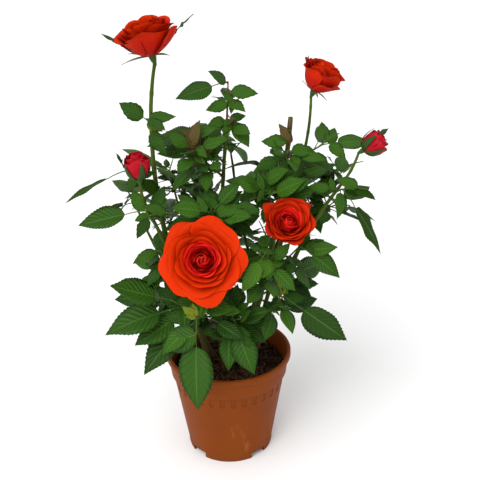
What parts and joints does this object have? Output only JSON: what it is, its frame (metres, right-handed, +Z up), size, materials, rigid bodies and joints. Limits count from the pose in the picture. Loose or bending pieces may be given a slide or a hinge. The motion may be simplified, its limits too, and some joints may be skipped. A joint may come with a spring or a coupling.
{
  "type": "potted rose bush",
  "caption": "Bushy potted miniature rose with upright canes, compound toothed leaves, open orange-red blooms and buds, in a round tapered plastic nursery pot.",
  "frame": {"origin": "centre of the pot's flat underside, on the ground", "axes": "+Z up along the pot and the canes, the large open bloom faces -Y, +X to its right hand side as seen from the front"},
  "size_m": [0.3076, 0.2293, 0.4594],
  "materials": {
    "terracotta": "satin moulded plastic, terracotta colour",
    "soil": "dark peat with bark fibres",
    "cane": "smooth green bark",
    "leaf": "satin green leaf",
    "petal": "velvety orange-red petal"
  },
  "bodies": {
    "root": {"pot": "terracotta", "soil": "soil", "cane_left": "cane", "cane_left_front": "cane", "cane_middle": "cane", "cane_pruned": "cane", "cane_right": "cane", "cane_far_right": "cane", "cane_front": "cane", "cane_right_front": "cane", "bough_back_left": "cane", "bough_back": "cane", "bough_back_right": "cane", "bough_left": "cane", "stalk_bloom_front": "cane", "bloom_front": "petal", "stalk_bloom_right": "cane", "bloom_right": "petal", "stalk_bloom_top_left": "cane", "bloom_top_left": "petal", "stalk_bloom_top_right": "cane", "bloom_top_right": "petal", "stalk_bud_left": "cane", "bud_left": "petal", "stalk_bud_right": "cane", "bud_right": "petal", "foliage_upper_left": "leaf", "foliage_left_arm": "leaf", "foliage_left": "leaf", "foliage_lower_left": "leaf", "foliage_front": "leaf", "foliage_left_middle": "leaf", "foliage_centre_top": "leaf", "foliage_centre_left": "leaf", "foliage_centre": "leaf", "foliage_centre_right": "leaf", "foliage_right_heart": "leaf", "foliage_right_top": "leaf", "foliage_right_node": "leaf", "foliage_right": "leaf", "foliage_lower_right": "leaf", "foliage_between_blooms": "leaf", "foliage_front_right": "leaf", "foliage_back_left_1": "leaf", "foliage_back_left_2": "leaf", "foliage_back_left_3": "leaf", "foliage_back_4": "leaf", "foliage_back_6": "leaf", "foliage_back_right_7": "leaf", "foliage_back_right_8": "leaf", "foliage_left_9": "leaf", "foliage_left_10": "leaf", "foliage_inner_right_11": "leaf", "foliage_inner_right_12": "leaf", "foliage_inner_middle_13": "leaf", "foliage_inner_middle_14": "leaf", "foliage_inner_left_15": "leaf"}
  },
  "joints": []
}
